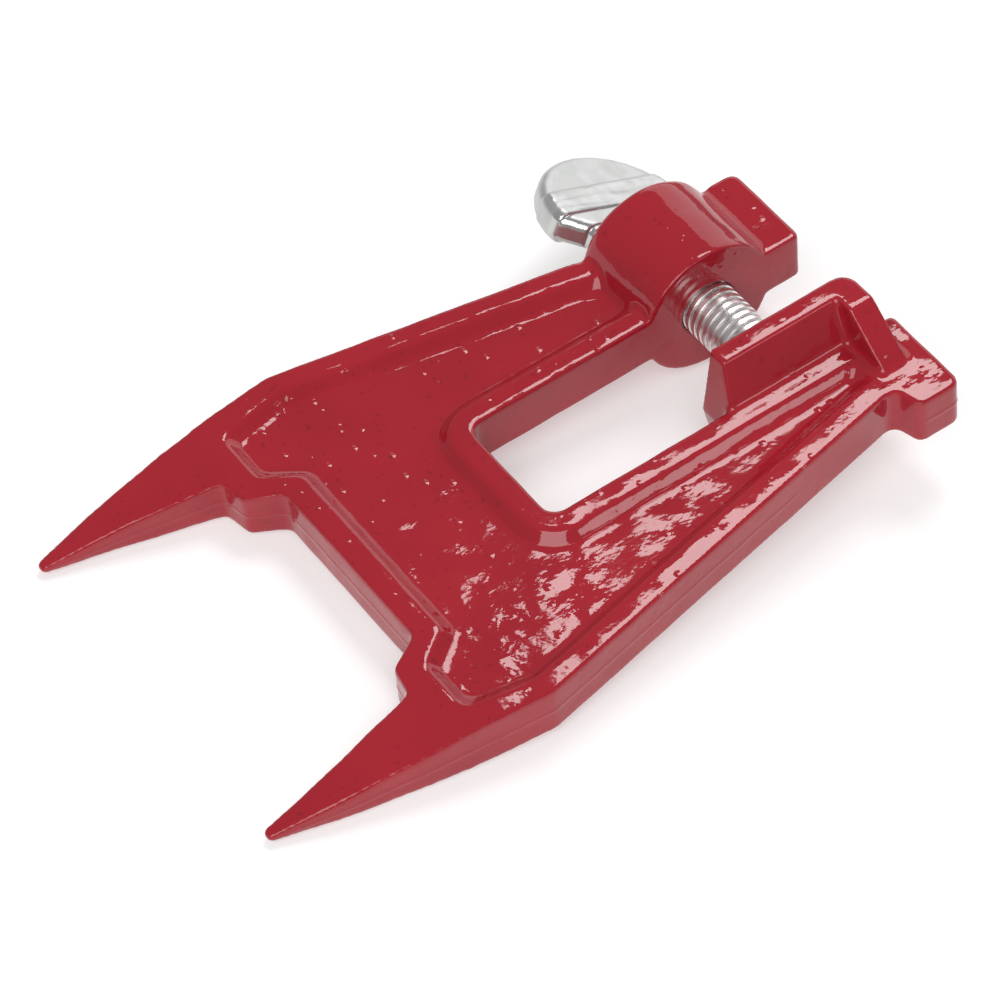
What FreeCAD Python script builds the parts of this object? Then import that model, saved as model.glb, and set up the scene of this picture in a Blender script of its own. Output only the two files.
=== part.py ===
"""Stump vise for filing a saw chain: one iron casting and a thumbscrew.

The casting is an A-shaped plate with two spikes, a deep throat between its
arms, a threaded boss on the left arm and a fixed jaw on the right arm.
The thumbscrew runs through the boss and presses a guide bar on the jaw.

Frame, in millimetres: the origin is where the screw's axis meets the fixed
jaw's face.  +X points from the screw into the fixed jaw, +Y from the spikes
to the strike pads, and +Z is square to the plate.
"""

import FreeCAD, Part
import math
import os

# --- driving dimensions -------------------------------------------------
CENTRE_X = -5.4            # the plate's line of symmetry
PLATE_HALF = 4.75          # half the plate's thickness
JAW_HALF = 12.6            # half the height of the boss and of the fixed jaw

THROAT_LEFT = 11.1         # throat's sides, from the centre line
THROAT_RIGHT = 11.9
THROAT_END = -47.7         # closed end of the throat
THROAT_CORNER = 2.6

PAD_END_LEFT = 18.9        # far ends of the strike pads
PAD_END_RIGHT = 20.0
PAD_NEAR = 11.6            # where a pad steps out past its arm
PAD_HALF_LEFT = 29.4       # outer sides of the pads, from the centre line
PAD_HALF_RIGHT = 30.2
ARM_TOP_HALF = 24.8        # outer side of an arm at the pad
ARM_TOP_Y = 8.2
SHOULDER_HALF = 40.6       # widest place of the plate
SHOULDER_Y = -67.5

BAR_Y = -78.4              # crossbar's edge, which seats on the stump
BAR_HALF = 18.0
STEP_HALF = 21.3           # foot of the slant beside the crossbar
STEP_Y = -84.3
NOTCH_HALF = 26.5          # inner root of a spike
NOTCH_Y = -85.2

TIP_HALF = 33.0            # a spike's point, from the centre line
TIP_Y = -116.0
TIP_BLUNT = 0.9            # half the width of the blunt point
TIP_THIN = 0.6             # half the thickness at the point
SPIKE_THICK_Y = -76.0      # above this line the spike is as thick as the plate

HIP = (38.4, -88.9)        # outer side of a spike, from the centre line
SHIN = (36.2, -105.0)
INSTEP = (29.9, -102.0)    # inner side of a spike
HIP_ROUND = 60.0
SHIN_ROUND = 40.0
INSTEP_ROUND = 50.0
BELLY = (-101.2, 2.7)      # height along a spike, and half its thickness there
CORNER = 1.2               # small cast roundings of the outline
PAD_CORNER = 1.9
SHOULDER_ROUND = 4.0

PANEL_DEPTH = 2.1          # depth of the sunk panel on each side
PANEL_SLOPE = 2.1          # run of the panel's sloping wall
RIM = 3.9                  # width of the flat rim around the panel
PANEL_TOP_RIGHT = 7.4      # the panel's ends, below the gusset and in the boss
PANEL_TOP_LEFT = -11.0
PANEL_HIP = 38.6           # lower outer corner of the rim's inner edge
PANEL_FOOT_Y = -84.2       # edge of the plate below the panel's lower corners
PANEL_ROUND = 2.4
PANEL_TOP_ROUND = 0.4

BOSS_RADIUS = 12.6
BOSS_FAR_X = CENTRE_X - 30.7
BOSS_FACE_X = CENTRE_X - THROAT_LEFT
BOSS_EDGE = 2.0            # rounding of the boss's far edge

JAW_TOP_WIDTH = 3.7
JAW_ROOT_WIDTH = 9.3       # at the plate's middle
JAW_NEAR_Y = -13.7         # near end at the plate's middle
JAW_NEAR_TOP_Y = -11.4     # near end at the jaw's top
JAW_FAR_Y = 15.9
JAW_FAR_CORNER = 3.0       # rounding at the far end of the jaw's face
GUSSET_WIDTH = 4.9
GUSSET_TOP = 7.2           # where the gusset's top starts to slope, from the jaw face
GUSSET_FOOT = 16.8         # how far the gusset's foot stands from the jaw face
GUSSET_SINK = 0.4          # how far the gusset's foot is below the plate's face

THREAD_RADIUS = 5.0        # M10 coarse
THREAD_PITCH = 1.5
THREAD_DEPTH = 0.88
GROOVE_MOUTH = 1.32        # width of the thread's groove at the outside
GROOVE_ROOT = 0.18         # and at its root
HOLE_RADIUS = 5.05         # plain hole in place of the tapped thread
HOLE_BEVEL = 0.4

SCREW_TIP_X = -1.5         # blunt end of the screw, facing the fixed jaw
NOSE_LENGTH = 2.0
NOSE_RADIUS = 3.9
NOSE_ROUND = 0.8
NOSE_GAP = 0.02            # hairline between the turning rod and the nose
HEAD_GAP = 1.0             # space between the collar and the boss
STUB_LENGTH = 8.0          # plain stub of the rod, inside the thumb head
STUB_RADIUS = 2.2

COLLAR_RADIUS = 5.7
COLLAR_LENGTH = 2.4
COLLAR_TAPER = 2.4         # cone that carries the collar into the blade
BLADE_RADIUS = 13.6
BLADE_THICKNESS = 5.4
BLADE_CENTRE = 6.1         # blade centre, measured from the collar's face
BLADE_SHOULDER = 4.9       # where the round gives way to the straight flanks
BLADE_CORNER = 3.0
BLADE_EDGE = 1.9           # rounding of the blade's rims
BLADE_FOOT = 1.6           # where the flanks end on the foot
FLANK_END = 9.9            # half the blade's width there
FOOT_HALF = 9.4            # half the foot's width
FOOT_THICKNESS = 4.6
FOOT_EDGE = 1.6
BAND_START = 4.9           # raised band across the blade
BAND_WIDTH = 6.0
BAND_HEIGHT = 0.45
HEAD_TURN = -24.5          # the blade's angle about the screw's axis

X_AXIS = FreeCAD.Vector(1, 0, 0)
Y_AXIS = FreeCAD.Vector(0, 1, 0)
Z_AXIS = FreeCAD.Vector(0, 0, 1)
ORIGIN = FreeCAD.Vector(0, 0, 0)


# --- small helpers ------------------------------------------------------
def vec(x, y, z=0.0):
    return FreeCAD.Vector(x, y, z)


def rounded_wire(corners, z=0.0):
    """Closed wire through (x, y, radius) corners, each with its round."""
    points = [vec(x, y, z) for x, y, radius in corners]
    count = len(points)
    edges = []
    starts = []
    ends = []
    middles = []
    for i in range(count):
        corner = points[i]
        back = (points[i - 1] - corner).normalize()
        ahead = (points[(i + 1) % count] - corner).normalize()
        half = back.getAngle(ahead) / 2
        radius = corners[i][2]
        reach = radius / math.tan(half)
        starts.append(corner + back * reach)
        ends.append(corner + ahead * reach)
        inward = (back + ahead).normalize()
        middles.append(corner + inward * (radius / math.sin(half) - radius))
    for i in range(count):
        if corners[i][2] > 0:
            edges.append(Part.Arc(starts[i], middles[i], ends[i]).toShape())
        following = starts[(i + 1) % count]
        if ends[i].distanceToPoint(following) > 1e-4:
            edges.append(Part.makeLine(ends[i], following))
    return Part.Wire(edges)


def slab(wire, height):
    """Solid of the wire's area, from the wire's plane up by height."""
    return Part.Face(wire).extrude(vec(0, 0, height))


def place(corners, side):
    """Corners measured from the centre line, put on its right or left side."""
    placed = [(CENTRE_X + side * x, y, radius) for x, y, radius in corners]
    return placed if side > 0 else placed[::-1]


def both_faces(shape):
    """The shape together with its mirror image below the plate's middle."""
    return shape.fuse(shape.mirror(ORIGIN, Z_AXIS))


# --- casting ------------------------------------------------------------
def half_plate(throat, pad_half, pad_end):
    """Half of the A-shaped plate, from the throat round to the crossbar."""
    return [
        (throat, THROAT_END, THROAT_CORNER),
        (throat, pad_end, CORNER),
        (pad_half, pad_end, PAD_CORNER),
        (pad_half, PAD_NEAR, PAD_CORNER),
        (ARM_TOP_HALF, ARM_TOP_Y + PAD_CORNER, PAD_CORNER),
        (SHOULDER_HALF, SHOULDER_Y, SHOULDER_ROUND),
        (HIP[0], HIP[1], HIP_ROUND),
        (SHIN[0], SHIN[1], SHIN_ROUND),
        (TIP_HALF + TIP_BLUNT, TIP_Y, TIP_BLUNT - 0.1),
        (TIP_HALF - TIP_BLUNT, TIP_Y, TIP_BLUNT - 0.1),
        (INSTEP[0], INSTEP[1], INSTEP_ROUND),
        (NOTCH_HALF, NOTCH_Y, CORNER),
        (STEP_HALF, STEP_Y, CORNER),
        (BAR_HALF, BAR_Y, PAD_CORNER),
    ]


def spike_profile():
    """Side view of the casting: full thickness that thins to the points."""
    belly_y, belly_half = BELLY
    top = Part.Arc(
        vec(0, SPIKE_THICK_Y, PLATE_HALF),
        vec(0, belly_y, belly_half),
        vec(0, TIP_Y, TIP_THIN),
    ).toShape()
    bottom = Part.Arc(
        vec(0, TIP_Y, -TIP_THIN),
        vec(0, belly_y, -belly_half),
        vec(0, SPIKE_THICK_Y, -PLATE_HALF),
    ).toShape()
    nose = Part.makeLine(vec(0, TIP_Y, TIP_THIN), vec(0, TIP_Y, -TIP_THIN))
    back = Part.makePolygon([
        vec(0, SPIKE_THICK_Y, -PLATE_HALF),
        vec(0, PAD_END_RIGHT, -PLATE_HALF),
        vec(0, PAD_END_RIGHT, PLATE_HALF),
        vec(0, SPIKE_THICK_Y, PLATE_HALF),
    ])
    wire = Part.Wire([top, nose, bottom] + back.Edges)
    width = 2 * SHOULDER_HALF + 2
    side = Part.Face(wire).extrude(vec(width, 0, 0))
    side.translate(vec(CENTRE_X - width / 2, 0, 0))
    return side


def make_plate():
    right = place(half_plate(THROAT_RIGHT, PAD_HALF_RIGHT, PAD_END_RIGHT), 1)
    left = place(half_plate(THROAT_LEFT, PAD_HALF_LEFT, PAD_END_LEFT), -1)
    wire = rounded_wire(right + left, -PLATE_HALF)
    return slab(wire, 2 * PLATE_HALF).common(spike_profile())


def half_panel(throat, top_y, grow):
    """Half of the panel's outline, from the throat round to the crossbar."""
    side = RIM + PANEL_SLOPE - grow
    lean = (SHOULDER_HALF - ARM_TOP_HALF) / (ARM_TOP_Y - SHOULDER_Y)
    inner = throat + side
    arm = ARM_TOP_HALF + lean * (ARM_TOP_Y - top_y) - side
    foot_y = PANEL_FOOT_Y + side
    top_round = PANEL_TOP_ROUND * (1 + grow)
    return [
        (inner, THROAT_END - side, PANEL_ROUND + side),
        (inner, top_y, top_round),
        (arm, top_y, top_round),
        (SHOULDER_HALF - side, SHOULDER_Y, PANEL_ROUND),
        (PANEL_HIP - side, foot_y, PANEL_ROUND),
        (STEP_HALF + RIM - 0.75 * grow, foot_y, PANEL_ROUND),
        (BAR_HALF + PANEL_ROUND - 0.35 * grow, BAR_Y + side + PANEL_TOP_ROUND, PANEL_ROUND),
    ]


def panel_wire(grow, z):
    """The panel's outline; grow widens it from its floor to its mouth."""
    right = place(half_panel(THROAT_RIGHT, PANEL_TOP_RIGHT + grow, grow), 1)
    left = place(half_panel(THROAT_LEFT, PANEL_TOP_LEFT + grow, grow), -1)
    return rounded_wire(right + left, z)


def make_panel():
    """Cutter for the sunk panel in the upper face, with sloping walls."""
    floor = panel_wire(0.0, PLATE_HALF - PANEL_DEPTH)
    mouth = panel_wire(PANEL_SLOPE, PLATE_HALF)
    return Part.makeLoft([floor, mouth], True, True)


def make_boss():
    length = BOSS_FACE_X - BOSS_FAR_X
    boss = Part.makeCylinder(BOSS_RADIUS, length, vec(BOSS_FAR_X, 0), X_AXIS)
    far_edge = [e for e in boss.Edges if e.BoundBox.XMax < BOSS_FAR_X + 0.01]
    return boss.makeFillet(BOSS_EDGE, far_edge)


def extruded(points, direction):
    """Solid of a flat outline through the points, moved along direction."""
    return Part.Face(Part.makePolygon(points + points[:1])).extrude(direction)


def jaw_wall():
    """Upper half of the fixed jaw, drafted on its back and its near end."""
    section = extruded([
        vec(0, JAW_NEAR_Y, 0),
        vec(JAW_ROOT_WIDTH, JAW_NEAR_Y, 0),
        vec(JAW_TOP_WIDTH, JAW_NEAR_Y, JAW_HALF),
        vec(0, JAW_NEAR_Y, JAW_HALF),
    ], vec(0, JAW_FAR_Y - JAW_NEAR_Y))
    side = extruded([
        vec(0, JAW_NEAR_Y, 0),
        vec(0, JAW_FAR_Y, 0),
        vec(0, JAW_FAR_Y, JAW_HALF),
        vec(0, JAW_NEAR_TOP_Y, JAW_HALF),
    ], vec(JAW_ROOT_WIDTH, 0))
    return section.common(side)


def make_jaw():
    """Fixed jaw and the gusset behind its far end, above the plate's middle."""
    inside_wall = JAW_TOP_WIDTH / 2
    gusset = extruded([
        vec(inside_wall, JAW_FAR_Y, 0),
        vec(GUSSET_FOOT, JAW_FAR_Y, 0),
        vec(GUSSET_FOOT, JAW_FAR_Y, PLATE_HALF - GUSSET_SINK),
        vec(GUSSET_TOP, JAW_FAR_Y, JAW_HALF),
        vec(inside_wall, JAW_FAR_Y, JAW_HALF),
    ], vec(0, -GUSSET_WIDTH))
    jaw = both_faces(jaw_wall().fuse(gusset)).removeSplitter()
    far_corner = [
        e for e in jaw.Edges
        if e.BoundBox.XMax < 0.01 and e.BoundBox.YMin > JAW_FAR_Y - 0.01
    ]
    return jaw.makeFillet(JAW_FAR_CORNER, far_corner)


def make_screw_hole():
    length = BOSS_FACE_X - BOSS_FAR_X
    hole = Part.makeCylinder(HOLE_RADIUS, length, vec(BOSS_FAR_X, 0), X_AXIS)
    mouth_radius = HOLE_RADIUS + HOLE_BEVEL
    mouth_start = vec(BOSS_FACE_X - HOLE_BEVEL, 0)
    mouth = Part.makeCone(HOLE_RADIUS, mouth_radius, HOLE_BEVEL, mouth_start, X_AXIS)
    return hole.fuse(mouth)


def make_casting():
    panel = make_panel()
    body = make_plate()
    body = body.cut(panel)
    body = body.cut(panel.mirror(ORIGIN, Z_AXIS))
    body = body.fuse(make_boss())
    body = body.fuse(make_jaw())
    body = body.cut(make_screw_hole())
    return body.removeSplitter()


# --- thumbscrew ---------------------------------------------------------
COLLAR_X = BOSS_FAR_X - HEAD_GAP
ROD_END_X = SCREW_TIP_X - NOSE_LENGTH


def make_screw_rod():
    """Threaded rod, with the plain stub that the thumb head is cast on."""
    length = ROD_END_X - COLLAR_X
    rod = Part.makeCylinder(THREAD_RADIUS, length, vec(COLLAR_X, 0), X_AXIS)
    end_edge = [e for e in rod.Edges if e.BoundBox.XMin > ROD_END_X - 0.01]
    rod = rod.makeChamfer(THREAD_DEPTH, end_edge)
    helix = Part.makeHelix(THREAD_PITCH, length - 2 * THREAD_PITCH, THREAD_RADIUS)
    outside = THREAD_RADIUS + 0.08
    root = THREAD_RADIUS - THREAD_DEPTH
    profile = Part.makePolygon([
        vec(outside, 0, -GROOVE_MOUTH / 2),
        vec(root, 0, -GROOVE_ROOT / 2),
        vec(root, 0, GROOVE_ROOT / 2),
        vec(outside, 0, GROOVE_MOUTH / 2),
        vec(outside, 0, -GROOVE_MOUTH / 2),
    ])
    groove = Part.Wire(helix).makePipeShell([profile], True, True)
    groove.rotate(ORIGIN, Y_AXIS, 90)
    groove.translate(vec(COLLAR_X + THREAD_PITCH, 0, 0))
    rod = rod.cut(groove)
    stub = Part.makeCylinder(STUB_RADIUS, STUB_LENGTH, vec(COLLAR_X - STUB_LENGTH, 0), X_AXIS)
    return rod.fuse(stub)


def make_screw_nose():
    """Plain blunt end of the screw, which bears on the guide bar."""
    start = ROD_END_X + NOSE_GAP
    nose = Part.makeCylinder(NOSE_RADIUS, NOSE_LENGTH - NOSE_GAP, vec(start, 0), X_AXIS)
    end_edge = [e for e in nose.Edges if e.BoundBox.XMin > SCREW_TIP_X - 0.01]
    return nose.makeFillet(NOSE_ROUND, end_edge)


def blade_slab(thickness):
    """Round blade that draws in to its foot on two straight flanks."""
    z = -thickness / 2
    corner_x = -BLADE_SHOULDER
    corner_y = math.sqrt(BLADE_RADIUS ** 2 - (BLADE_SHOULDER - BLADE_CENTRE) ** 2)
    far = Part.Arc(
        vec(corner_x, corner_y, z),
        vec(-BLADE_CENTRE - BLADE_RADIUS, 0, z),
        vec(corner_x, -corner_y, z),
    ).toShape()
    flanks = Part.makePolygon([
        vec(corner_x, -corner_y, z),
        vec(-BLADE_FOOT, -FLANK_END, z),
        vec(-BLADE_FOOT, FLANK_END, z),
        vec(corner_x, corner_y, z),
    ])
    blade = slab(Part.Wire([far] + flanks.Edges), thickness)
    corners = [
        e for e in blade.Edges
        if e.BoundBox.ZLength > thickness / 2 and e.BoundBox.XMax < corner_x + 0.1
    ]
    return blade.makeFillet(BLADE_CORNER, corners)


def soften_blade(blade, radius):
    """Round the rims of the blade's two faces."""
    half = blade.BoundBox.ZMax
    rims = [
        e for e in blade.Edges
        if e.BoundBox.ZLength < 0.01
        and abs(abs(e.BoundBox.ZMin) - half) < 0.01
        and e.BoundBox.XMax < -BLADE_FOOT - 0.1
    ]
    return blade.makeFillet(radius, rims)


def make_foot():
    """Flat foot between the blade and the boss, a little smaller all round."""
    size = vec(BLADE_FOOT, 2 * FOOT_HALF, FOOT_THICKNESS)
    foot = Part.makeBox(size.x, size.y, size.z, vec(-size.x, -size.y / 2, -size.z / 2))
    along = [e for e in foot.Edges if e.BoundBox.XLength > BLADE_FOOT / 2]
    return foot.makeFillet(FOOT_EDGE, along)


def make_thumb_head():
    half = BLADE_THICKNESS / 2
    blade = soften_blade(blade_slab(BLADE_THICKNESS), BLADE_EDGE)
    raised = soften_blade(blade_slab(BLADE_THICKNESS + 2 * BAND_HEIGHT), BLADE_EDGE)
    corner = vec(-BAND_START - BAND_WIDTH, -BLADE_RADIUS, -BLADE_RADIUS)
    strip = Part.makeBox(BAND_WIDTH, 2 * BLADE_RADIUS, 2 * BLADE_RADIUS, corner)
    collar = Part.makeCylinder(COLLAR_RADIUS, COLLAR_LENGTH, vec(-COLLAR_LENGTH, 0), X_AXIS)
    taper_start = vec(-COLLAR_LENGTH - COLLAR_TAPER, 0)
    taper = Part.makeCone(half, COLLAR_RADIUS, COLLAR_TAPER, taper_start, X_AXIS)
    head = blade.fuse([raised.common(strip), make_foot(), collar, taper])
    bore = Part.makeCylinder(STUB_RADIUS, STUB_LENGTH, vec(-STUB_LENGTH, 0), X_AXIS)
    head = head.cut(bore)
    head.rotate(ORIGIN, X_AXIS, HEAD_TURN)
    head.translate(vec(COLLAR_X, 0, 0))
    return head


# --- files --------------------------------------------------------------
def main():
    os.makedirs("parts", exist_ok=True)
    pieces = {
        "casting": make_casting(),
        "screw_rod": make_screw_rod(),
        "screw_nose": make_screw_nose(),
        "thumb_head": make_thumb_head(),
    }
    for name, shape in pieces.items():
        box = shape.BoundBox
        print(name, shape.isValid(), len(shape.Solids), round(shape.Volume, 1), box)
        shape.exportStep("parts/" + name + ".step")


main()
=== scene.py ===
"""Looks of the stump vise: an enamelled casting with a plated thumbscrew.

Metres, in the part's frame: +X from the screw into the fixed jaw, +Y from the spikes to
the strike pads, +Z square to the plate.  The vise lies on its jaw and
its two spikes.
"""

import math

import bpy
import numpy as np
from mathutils import Matrix, Vector


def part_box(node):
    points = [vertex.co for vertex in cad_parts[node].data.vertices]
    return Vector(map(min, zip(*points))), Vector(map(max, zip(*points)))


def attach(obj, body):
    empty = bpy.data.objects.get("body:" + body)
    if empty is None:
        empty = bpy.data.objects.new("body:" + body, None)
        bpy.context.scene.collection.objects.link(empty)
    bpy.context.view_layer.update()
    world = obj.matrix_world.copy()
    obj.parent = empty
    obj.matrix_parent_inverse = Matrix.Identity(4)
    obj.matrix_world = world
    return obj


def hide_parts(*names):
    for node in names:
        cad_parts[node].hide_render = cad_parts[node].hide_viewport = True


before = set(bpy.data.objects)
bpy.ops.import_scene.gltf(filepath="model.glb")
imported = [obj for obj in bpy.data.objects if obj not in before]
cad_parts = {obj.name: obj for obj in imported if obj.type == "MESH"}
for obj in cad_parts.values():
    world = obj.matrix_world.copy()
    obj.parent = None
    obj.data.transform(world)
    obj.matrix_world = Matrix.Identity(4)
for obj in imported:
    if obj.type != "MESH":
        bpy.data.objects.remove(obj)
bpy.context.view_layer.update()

MM = 0.001
TURN = 2 * math.pi

# --- the shapes that the looks depend on ---------------------------------
CENTRE_X = -5.4 * MM
BOSS_X = (-36.1 * MM, -16.5 * MM)      # the boss's far and near face
BOSS_RADIUS = 12.6 * MM
THREAD_PITCH = 1.5 * MM
THREAD_RADIUS = 5.0 * MM
THREAD_DEPTH = 0.88 * MM
TIP_Y = -116.0 * MM
HEAD_TURN = math.radians(-24.5)
COLLAR_X = -37.1 * MM
JAW_EDGE = (-11.4 * MM, -12.6 * MM)    # y and z of the jaw's edge on the table
TIPS_REST = -1.2 * MM                  # z where the table passes under the tips
CASTING_VOXEL = 0.24 * MM
HEAD_VOXEL = 0.16 * MM
PULL = 0.6                             # share of each smoothing step
TABLE_LEFT, TABLE_RIGHT, TABLE_HALF = -0.6, 0.135, 0.45
CAMERA_DISTANCE = 797.3 * MM
CAMERA_TURN = [math.radians(a) for a in (60.13, 50.47, -6.57)]  # azimuth, elevation, roll


# --- mesh helpers --------------------------------------------------------
def coords(mesh):
    flat = np.empty(len(mesh.vertices) * 3)
    mesh.vertices.foreach_get("co", flat)
    return flat.reshape(-1, 3)


def normals(mesh):
    flat = np.empty(len(mesh.vertices) * 3)
    mesh.vertices.foreach_get("normal", flat)
    return flat.reshape(-1, 3)


def set_coords(mesh, points):
    mesh.vertices.foreach_set("co", points.ravel())
    mesh.update()


def averager(mesh):
    """Function that gives each vertex the mean of its neighbours' rows."""
    count = len(mesh.vertices)
    pairs = np.empty(len(mesh.edges) * 2, np.int64)
    mesh.edges.foreach_get("vertices", pairs)
    a, b = pairs.reshape(-1, 2).T
    degree = np.bincount(a, minlength=count) + np.bincount(b, minlength=count)

    def average(rows):
        columns = [np.bincount(a, c[b], count) + np.bincount(b, c[a], count) for c in rows.T]
        return np.stack(columns, axis=1) / degree[:, None]

    return average


def smooth(mesh, rounds, weight, hold=0.0):
    """Average each vertex with its neighbours, less where hold is near 1."""
    average = averager(mesh)
    points = coords(mesh)
    share = np.broadcast_to(weight * (1 - hold), (len(points),))[:, None]
    for _ in range(rounds):
        points += share * (average(points) - points)
    set_coords(mesh, points)


def creases(mesh, turn, low, high, spread):
    """1 along creases, fading over some rings; turn is 1 for inward, -1 for outward."""
    average = averager(mesh)
    points = coords(mesh)
    pull = turn * ((average(points) - points) * normals(mesh)).sum(axis=1)
    mark = ease(pull, low, high)[:, None]
    for _ in range(spread):
        mark = np.maximum(mark, average(mark))
    return np.clip(mark[:, 0] * 1.5, 0, 1)


def remeshed(node, name, voxel):
    """A fine, even copy of a CAD node as a new object."""
    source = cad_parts[node]
    piece = bpy.data.objects.new(name, source.data.copy())
    bpy.context.scene.collection.objects.link(piece)
    piece.data.materials.clear()
    change = piece.modifiers.new("even", "REMESH")
    change.mode = "VOXEL"
    change.voxel_size = voxel
    graph = bpy.context.evaluated_depsgraph_get()
    mesh = bpy.data.meshes.new_from_object(piece.evaluated_get(graph))
    piece.modifiers.clear()
    piece.data = mesh
    mesh.shade_smooth()
    return piece


def grid_object(name, rows):
    """Object from rings of points; each ring has the same number of points."""
    count, around = len(rows), len(rows[0])
    points = [tuple(p) for ring in rows for p in ring]
    faces = []
    for i in range(count - 1):
        for j in range(around):
            k = (j + 1) % around
            ring, after = i * around, (i + 1) * around
            faces.append((ring + j, ring + k, after + k, after + j))
    faces.append(tuple(range(around))[::-1])
    faces.append(tuple((count - 1) * around + j for j in range(around)))
    mesh = bpy.data.meshes.new(name)
    mesh.from_pydata(points, [], faces)
    mesh.update()
    mesh.shade_smooth()
    piece = bpy.data.objects.new(name, mesh)
    bpy.context.scene.collection.objects.link(piece)
    return piece


def ease(value, low, high):
    t = np.clip((value - low) / (high - low), 0, 1)
    return t * t * (3 - 2 * t)


# --- material helpers ----------------------------------------------------
class Nodes:
    """A small builder for one material's node tree."""

    def __init__(self, name):
        self.material = bpy.data.materials.new(name)
        self.material.use_nodes = True
        self.tree = self.material.node_tree
        self.shader = self.tree.nodes["Principled BSDF"]
        self.place = self.add("ShaderNodeTexCoord").outputs["Object"]

    def add(self, kind, **values):
        node = self.tree.nodes.new(kind)
        for key, value in values.items():
            setattr(node, key, value)
        return node

    def join(self, source, target):
        self.tree.links.new(source, target)

    def noise(self, scale, detail=3.0, rough=0.5, stretch=None):
        node = self.add("ShaderNodeTexNoise")
        node.inputs["Scale"].default_value = scale
        node.inputs["Detail"].default_value = detail
        node.inputs["Roughness"].default_value = rough
        place = self.place
        if stretch:
            scaled = self.add("ShaderNodeMapping")
            scaled.inputs["Scale"].default_value = stretch
            self.join(place, scaled.inputs["Vector"])
            place = scaled.outputs["Vector"]
        self.join(place, node.inputs["Vector"])
        return node.outputs["Fac"]

    def dots(self, scale, size, share):
        """Round spots in a share of the cells, 1 at each centre and 0 outside."""
        node = self.add("ShaderNodeTexVoronoi")
        node.inputs["Scale"].default_value = scale
        self.join(self.place, node.inputs["Vector"])
        chosen = self.span(node.outputs["Color"], 1 - share, 1.02 - share, 0, 1)
        return self.math("MULTIPLY", self.span(node.outputs["Distance"], 0, size, 1, 0), chosen)

    def span(self, source, low, high, out_low, out_high):
        node = self.add("ShaderNodeMapRange")
        node.interpolation_type = "SMOOTHSTEP"
        self.join(source, node.inputs["Value"])
        node.inputs["From Min"].default_value = low
        node.inputs["From Max"].default_value = high
        node.inputs["To Min"].default_value = out_low
        node.inputs["To Max"].default_value = out_high
        return node.outputs["Result"]

    def math(self, operation, first, second):
        node = self.add("ShaderNodeMath", operation=operation)
        for socket, value in zip(node.inputs, (first, second)):
            if isinstance(value, (int, float)):
                socket.default_value = value
            else:
                self.join(value, socket)
        return node.outputs["Value"]

    def mix(self, share, first, second):
        node = self.add("ShaderNodeMix", data_type="RGBA")
        self.join(share, node.inputs["Factor"])
        for socket, value in ((node.inputs[6], first), (node.inputs[7], second)):
            if isinstance(value, tuple):
                socket.default_value = (*value, 1)
            else:
                self.join(value, socket)
        return node.outputs[2]

    def attribute(self, name):
        return self.add("ShaderNodeAttribute", attribute_name=name).outputs["Fac"]

    def bump(self, height, distance, below=None):
        node = self.add("ShaderNodeBump")
        node.inputs["Distance"].default_value = distance
        self.join(height, node.inputs["Height"])
        if below is not None:
            self.join(below, node.inputs["Normal"])
        return node.outputs["Normal"]


def enamel():
    """Glossy red enamel over a pebbled casting, thin on the worn edges."""
    n = Nodes("red_enamel")
    pebbled = n.attribute("pebbled")
    worn = n.attribute("edge")
    broad = n.noise(55, 2)
    tone = n.span(broad, 0.3, 0.7, 0, 1)
    red = n.mix(tone, (0.325, 0.0105, 0.021), (0.360, 0.0125, 0.024))
    speck = n.span(n.noise(900, 1), 0.69, 0.74, 0, 1)
    red = n.mix(n.math("MULTIPLY", speck, 0.35), red, (0.10, 0.006, 0.012))
    thin = n.math("MULTIPLY", worn, n.span(n.noise(300, 4), 0.5, 0.75, 0, 0.55))
    red = n.mix(thin, red, (0.20, 0.010, 0.018))
    n.join(red, n.shader.inputs["Base Color"])
    gloss = n.span(n.noise(140, 3), 0.3, 0.75, 0.035, 0.075)
    n.join(n.math("ADD", gloss, n.math("MULTIPLY", thin, 0.3)), n.shader.inputs["Roughness"])
    n.shader.inputs["IOR"].default_value = 1.5

    fine = n.bump(n.noise(800, 2), 0.005 * MM)
    skin = n.bump(n.noise(120, 3, 0.5, (1, 0.75, 1)), 0.11 * MM, fine)
    pebble = n.math("MULTIPLY", n.noise(300, 3, 0.55, (1, 0.7, 1)), pebbled)
    rough = n.bump(pebble, 0.065 * MM, skin)
    nibs = n.math("MULTIPLY", n.dots(290, 0.24, 0.60), pebbled)
    nibbed = n.bump(nibs, 0.10 * MM, rough)
    grains = n.math("MULTIPLY", n.dots(800, 0.25, 0.15), pebbled)
    grained = n.bump(grains, 0.035 * MM, nibbed)
    pits = n.math("MULTIPLY", n.dots(260, 0.10, 0.12), -1.0)
    normal = n.bump(pits, 0.05 * MM, grained)
    n.join(normal, n.shader.inputs["Normal"])
    return n.material


def bright_zinc():
    """Bright plating on the rolled thread, with painted shade darkening the thread roots."""
    n = Nodes("bright_zinc")
    tone = n.span(n.noise(500, 3), 0.35, 0.65, 0, 1)
    plated = n.mix(tone, (0.82, 0.82, 0.82), (0.90, 0.90, 0.89))
    # Painted shade: the base colour is mixed towards near black down in the thread roots.
    n.join(n.mix(n.attribute("painted_root_shade"), plated, (0.05, 0.045, 0.045)), n.shader.inputs["Base Color"])
    n.shader.inputs["Metallic"].default_value = 1.0
    rough = n.span(n.noise(900, 3, 0.6, (0.25, 1, 1)), 0.3, 0.7, 0.26, 0.36)
    n.join(rough, n.shader.inputs["Roughness"])
    n.join(n.bump(n.noise(1600, 3), 0.02 * MM), n.shader.inputs["Normal"])
    return n.material


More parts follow.
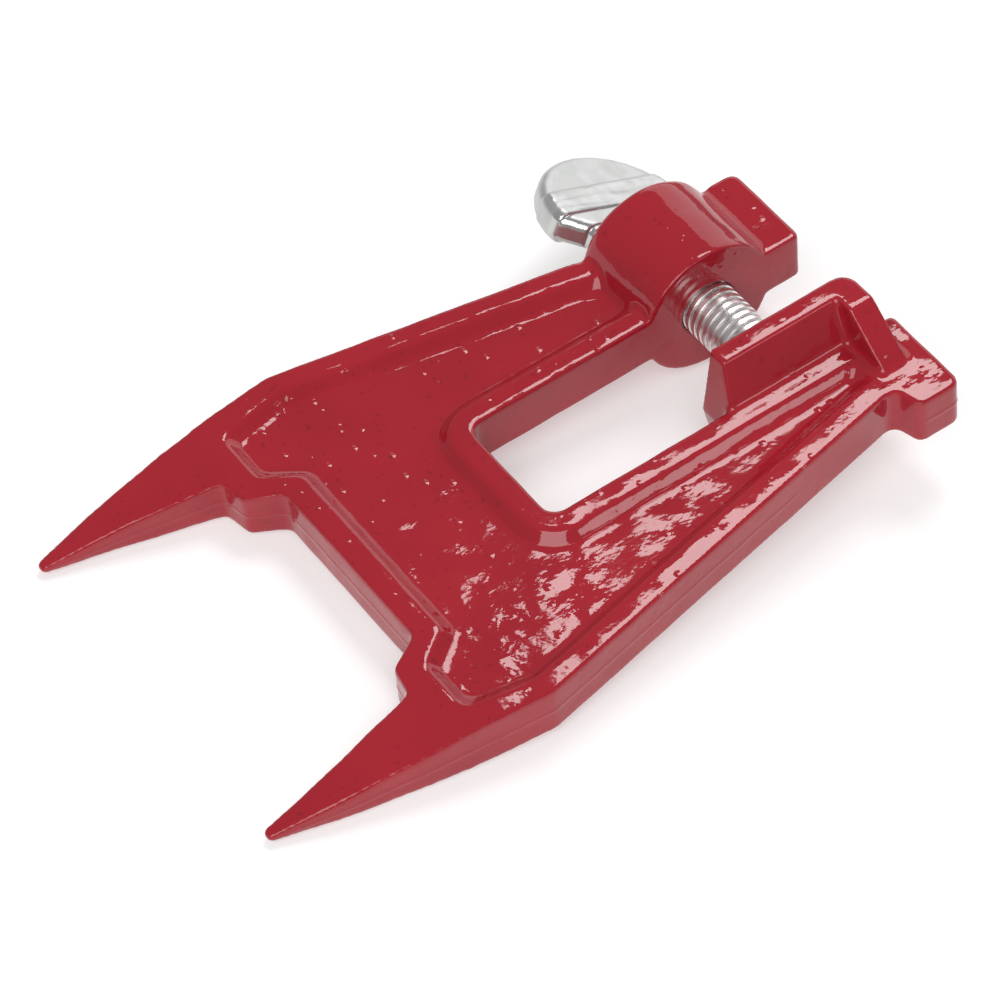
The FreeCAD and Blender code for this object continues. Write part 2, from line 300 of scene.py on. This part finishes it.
def cast_plate():
    """Satin plating over the die-cast thumb head."""
    n = Nodes("plated_casting")
    mottled = n.attribute("mottled")
    tone = n.span(n.noise(260, 3), 0.35, 0.65, 0, 1)
    base = n.mix(tone, (0.55, 0.56, 0.55), (0.61, 0.615, 0.61))
    n.join(base, n.shader.inputs["Base Color"])
    n.shader.inputs["Metallic"].default_value = 0.85
    satin = n.span(n.attribute("rim"), 0.2, 0.9, 0.44, 0.16)
    bright = n.span(n.noise(380, 2), 0.42, 0.6, 0.28, 0.42)
    blend = n.math("ADD", n.math("MULTIPLY", satin, n.math("SUBTRACT", 1.0, mottled)),
                   n.math("MULTIPLY", bright, mottled))
    n.join(blend, n.shader.inputs["Roughness"])
    fine = n.bump(n.noise(1300, 3), 0.02 * MM)
    lumps = n.math("MULTIPLY", n.noise(700, 3, 0.5, (1, 0.25, 0.25)), mottled)
    n.join(n.bump(lumps, 0.16 * MM, fine), n.shader.inputs["Normal"])
    return n.material


# --- pieces --------------------------------------------------------------
def store(mesh, name, values):
    layer = mesh.attributes.new(name, "FLOAT", "POINT")
    layer.data.foreach_set("value", np.asarray(values, np.float32))


def lumps(points, size, seed, count=9):
    """Smooth random field of about unit height, from a few seeded waves."""
    rng = np.random.default_rng(seed)
    total = np.zeros(len(points))
    for _ in range(count):
        way = rng.normal(size=3)
        way /= np.linalg.norm(way)
        wave = TURN / (size * rng.uniform(0.7, 1.5))
        total += np.sin(points @ way * wave + rng.uniform(0, TURN))
    return total / math.sqrt(count)


def behind_face(points):
    """1 behind the boss's near face, fading to 0 before it, so that the face stays flat."""
    return 1 - ease(points[:, 0], BOSS_X[1] - 2.2 * MM, BOSS_X[1] - 0.6 * MM)


def make_casting():
    piece = remeshed("casting", "casting_enamelled", CASTING_VOXEL)
    mesh = piece.data
    points = coords(mesh)
    tip = ease(-points[:, 1], -TIP_Y - 9 * MM, -TIP_Y)
    bore = np.hypot(points[:, 1], points[:, 2])
    near_boss = (points[:, 0] > BOSS_X[0] - MM) & (points[:, 0] < BOSS_X[1] + MM)
    in_bore = (bore < 5.6 * MM) & near_boss
    smooth(mesh, 12, PULL, np.clip(0.75 * tip + 0.9 * in_bore, 0, 1))
    spikes = ease(-points[:, 1], 82 * MM, 90 * MM) * (1 - 0.85 * tip)
    smooth(mesh, 14, PULL, 1 - spikes)

    foot = np.exp(-((bore - BOSS_RADIUS - 0.2 * MM) / (1.1 * MM)) ** 2) * near_boss
    level = abs(points[:, 2])
    foot *= ease(level, 0.5 * MM, 2.0 * MM) * (1 - ease(level, 7.0 * MM, 9.0 * MM))
    foot *= behind_face(points)
    smooth(mesh, 45, PULL, 1 - foot)

    points = coords(mesh)
    by_jaw = ease(points[:, 0], -1 * MM, 0) * ease(points[:, 1], -17 * MM, -15 * MM)
    by_jaw *= 1 - ease(points[:, 0], 18 * MM, 20 * MM)
    bore = np.hypot(points[:, 1], points[:, 2])
    by_boss = near_boss * (1 - ease(bore, 15 * MM, 17 * MM)) * ease(bore, 9 * MM, 10 * MM)
    by_boss *= behind_face(points)
    inward = creases(mesh, 1, 0.001 * MM, 0.005 * MM, 5)
    smooth(mesh, 40, PULL, 1 - np.maximum(by_jaw, by_boss) * inward)

    points = coords(mesh)
    facing = normals(mesh)
    bore = np.hypot(points[:, 1], points[:, 2])
    side_wall = 1 - ease(abs(facing[:, 2]), 0.25, 0.5)
    in_throat = (abs(points[:, 0] - CENTRE_X) < 14 * MM) & (points[:, 1] > -52 * MM)
    seam = np.exp(-(points[:, 2] / (0.30 * MM)) ** 2) * side_wall * (1 - in_throat)
    seam *= ease(bore, 12.0 * MM, 13.5 * MM)
    wavy = 0.03 * MM * lumps(points, 8 * MM, 5) + 0.008 * MM * lumps(points, 2.6 * MM, 6)
    wavy = wavy + 0.09 * MM * seam
    points += facing * (wavy * ease(bore, 5.6 * MM, 6.5 * MM))[:, None]
    set_coords(mesh, points)

    level = abs(points[:, 2])
    floor = ease(abs(facing[:, 2]), 0.93, 0.99) * (1 - ease(level, 3.0 * MM, 3.5 * MM))
    floor *= ease(level, 2.0 * MM, 2.4 * MM) * ease(points[:, 1], -81 * MM, -79.5 * MM)
    top = ease(abs(facing[:, 2]), 0.9, 0.98)
    slope = ease(abs(facing[:, 2]), 0.5, 0.6) * (1 - ease(abs(facing[:, 2]), 0.78, 0.88))
    slope *= ease(level, 2.6 * MM, 2.9 * MM) * (1 - ease(level, 4.6 * MM, 5.0 * MM))
    store(mesh, "pebbled", np.clip(0.35 + 0.45 * top + floor, 0, 1) + 0.9 * slope)
    store(mesh, "edge", creases(mesh, -1, 0.008 * MM, 0.022 * MM, 1))
    piece.data.materials.append(enamel())
    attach(piece, "vise_body")
    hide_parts("casting")


def thread_profile(phase):
    """Radius of the thread at a phase of 0 to 1 across one pitch."""
    away = np.abs(phase - 0.5) * 2
    flank = np.clip((away - 0.03) / 0.36, 0, 1)
    rounded = flank * flank * (3 - 2 * flank) * 0.45 + flank * 0.55
    return THREAD_RADIUS - THREAD_DEPTH * (1 - rounded)


def make_rod(metal):
    start, end = COLLAR_X - 0.4 * MM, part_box("screw_rod")[1].x
    around = 120
    turns = np.arange(around) * TURN / around
    rows = [[(start, 0.5 * MM * math.cos(t), 0.5 * MM * math.sin(t)) for t in turns]]
    steps = int((end - start) / (0.075 * MM))
    for x in np.linspace(start, end, steps):
        phase = (x / THREAD_PITCH - turns / TURN) % 1.0
        radius = thread_profile(phase)
        run_out = ease(x, COLLAR_X, COLLAR_X + 1.4 * MM)
        radius = THREAD_RADIUS * 0.86 * (1 - run_out) + radius * run_out
        chamfer = end - x + THREAD_RADIUS - THREAD_DEPTH
        radius = np.minimum(radius, chamfer)
        rows.append([(x, r * math.cos(t), r * math.sin(t)) for r, t in zip(radius, turns)])
    piece = grid_object("threaded_rod", rows)
    reach = np.hypot(*coords(piece.data)[:, 1:].T)
    # Painted shade mask: 1 down in the thread roots, fading to 0 up the flanks.
    painted_root_shade = 1 - ease(reach, THREAD_RADIUS - THREAD_DEPTH, THREAD_RADIUS - 0.6 * THREAD_DEPTH)
    store(piece.data, "painted_root_shade", painted_root_shade)
    piece.data.materials.append(metal)
    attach(piece, "thumbscrew")
    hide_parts("screw_rod")


def make_nose(metal):
    low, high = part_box("screw_nose")
    radius = (high.y - low.y) / 2
    bevel = 0.8 * MM
    outline = [(low.x, radius * 0.98), (low.x + 0.1 * MM, radius)]
    for i in range(9):
        a = math.pi / 2 * i / 8
        outline.append((high.x - bevel + bevel * math.sin(a), radius - bevel + bevel * math.cos(a)))
    outline.append((high.x - 0.02 * MM, radius * 0.45))
    outline.append((high.x - 0.06 * MM, radius * 0.1))
    turns = np.arange(72) * TURN / 72
    rows = [[(x, r * math.cos(t), r * math.sin(t)) for t in turns] for x, r in outline]
    piece = grid_object("screw_end", rows)
    piece.data.materials.append(metal)
    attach(piece, "screw_end")
    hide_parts("screw_nose")


def make_head():
    piece = remeshed("thumb_head", "thumb_blade", HEAD_VOXEL)
    mesh = piece.data
    smooth(mesh, 5, PULL)
    points = coords(mesh)
    facing = normals(mesh)
    c, s = math.cos(-HEAD_TURN), math.sin(-HEAD_TURN)
    across = points[:, 1] * c - points[:, 2] * s
    height = points[:, 1] * s + points[:, 2] * c
    along = COLLAR_X - points[:, 0]
    band = ease(along, 5.0 * MM, 5.6 * MM) * (1 - ease(along, 10.2 * MM, 10.9 * MM))
    flat = ease(abs(facing @ np.array([0, -math.sin(HEAD_TURN), math.cos(HEAD_TURN)])), 0.75, 0.95)
    mottled = band * flat * ease(abs(height), 1.6 * MM, 2.2 * MM)
    streaked = np.stack([along, across * 0.2, height * 0.2], axis=1)
    streaks = 0.05 * MM * mottled * lumps(streaked, 1.5 * MM, 8, 24)
    points += facing * (0.015 * MM * lumps(points, 3 * MM, 3) + streaks)[:, None]
    set_coords(mesh, points)
    store(mesh, "mottled", mottled)
    store(mesh, "rim", (1 - flat) * (1 - ease(along, 5 * MM, 8 * MM)))
    piece.data.materials.append(cast_plate())
    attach(piece, "thumbscrew")
    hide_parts("thumb_head")


# --- stage ---------------------------------------------------------------
def make_floor():
    """Pale table under the jaw's lower edge and the two spikes."""
    jaw_edge = Vector((0, *JAW_EDGE))
    tips = Vector((0, TIP_Y, TIPS_REST))
    along = (jaw_edge - tips).normalized()
    up = Vector((1, 0, 0)).cross(along)
    centre = (jaw_edge + tips) / 2 - up * 0.15 * MM
    mesh = bpy.data.meshes.new("floor")
    side = Vector((1, 0, 0))
    ends = ((TABLE_LEFT, -TABLE_HALF), (TABLE_RIGHT, -TABLE_HALF),
            (TABLE_RIGHT, TABLE_HALF), (TABLE_LEFT, TABLE_HALF))
    corners = [centre + side * a + along * b for a, b in ends]
    mesh.from_pydata([tuple(p) for p in corners], [], [(0, 1, 2, 3)])
    floor = bpy.data.objects.new("floor", mesh)
    bpy.context.scene.collection.objects.link(floor)
    n = Nodes("pale_table")
    tone = n.span(n.noise(6, 4), 0.3, 0.7, 0, 1)
    n.join(n.mix(tone, (0.64, 0.64, 0.64), (0.67, 0.67, 0.67)), n.shader.inputs["Base Color"])
    n.join(n.span(n.noise(30, 3), 0.3, 0.7, 0.65, 0.8), n.shader.inputs["Roughness"])
    n.join(n.bump(n.noise(900, 2), 0.02 * MM), n.shader.inputs["Normal"])
    n.shader.inputs["Emission Color"].default_value = (1, 1, 1, 1)
    n.shader.inputs["Emission Strength"].default_value = 0.38
    mesh.materials.append(n.material)


def area_light(name, place, target, size, power):
    data = bpy.data.lights.new(name, "AREA")
    data.shape = "RECTANGLE"
    data.size, data.size_y = size
    data.energy = power
    lamp = bpy.data.objects.new(name, data)
    lamp.location = place
    lamp.rotation_mode = "QUATERNION"
    lamp.rotation_quaternion = (Vector(target) - Vector(place)).to_track_quat("-Z", "Y")
    bpy.context.scene.collection.objects.link(lamp)


def make_light():
    middle = Vector((-0.005, -0.045, 0))
    key = Vector((-0.312, 0.43, 0.8))
    area_light("key_box", key, key - Vector((0, 0, 1)), (0.41, 0.37), 3.9)
    side = middle + Vector((0.782, 0.381, 0.492)) * 0.95
    area_light("side_box", side, middle, (0.24, 0.17), 0.5)
    back = Vector((-0.62, 0.95, 0.42))
    area_light("back_box", back, middle, (1.5, 0.75), 3.9)
    fill = middle + Vector((0.62, -0.60, 0.95))
    area_light("fill_box", fill, middle, (1.0, 1.0), 11.5)
    world = bpy.data.worlds.new("studio")
    world.use_nodes = True
    world.node_tree.nodes["Background"].inputs["Color"].default_value = (1, 1, 1, 1)
    world.node_tree.nodes["Background"].inputs["Strength"].default_value = 0.3
    bpy.context.scene.world = world
    bpy.context.scene.view_settings.view_transform = "Standard"


def make_camera():
    target = Vector((-4.454, -50.31, 0.0)) * MM
    azimuth, elevation, roll = CAMERA_TURN
    back = Vector((
        math.sin(azimuth) * math.cos(elevation),
        -math.cos(azimuth) * math.cos(elevation),
        math.sin(elevation),
    ))
    data = bpy.data.cameras.new("camera")
    data.lens = 180.14
    data.sensor_width = 36.0
    data.clip_start, data.clip_end = 0.05, 60
    camera = bpy.data.objects.new("camera", data)
    right = Vector((0, 0, 1)).cross(back).normalized()
    up = back.cross(right)
    right_rolled = right * math.cos(roll) + up * math.sin(roll)
    up_rolled = up * math.cos(roll) - right * math.sin(roll)
    turn = Matrix((right_rolled, up_rolled, back)).transposed()
    camera.matrix_world = Matrix.Translation(target + back * CAMERA_DISTANCE) @ turn.to_4x4()
    bpy.context.scene.collection.objects.link(camera)
    bpy.context.scene.camera = camera


zinc = bright_zinc()
make_casting()
make_rod(zinc)
make_nose(zinc)
make_head()
make_floor()
make_light()
make_camera()
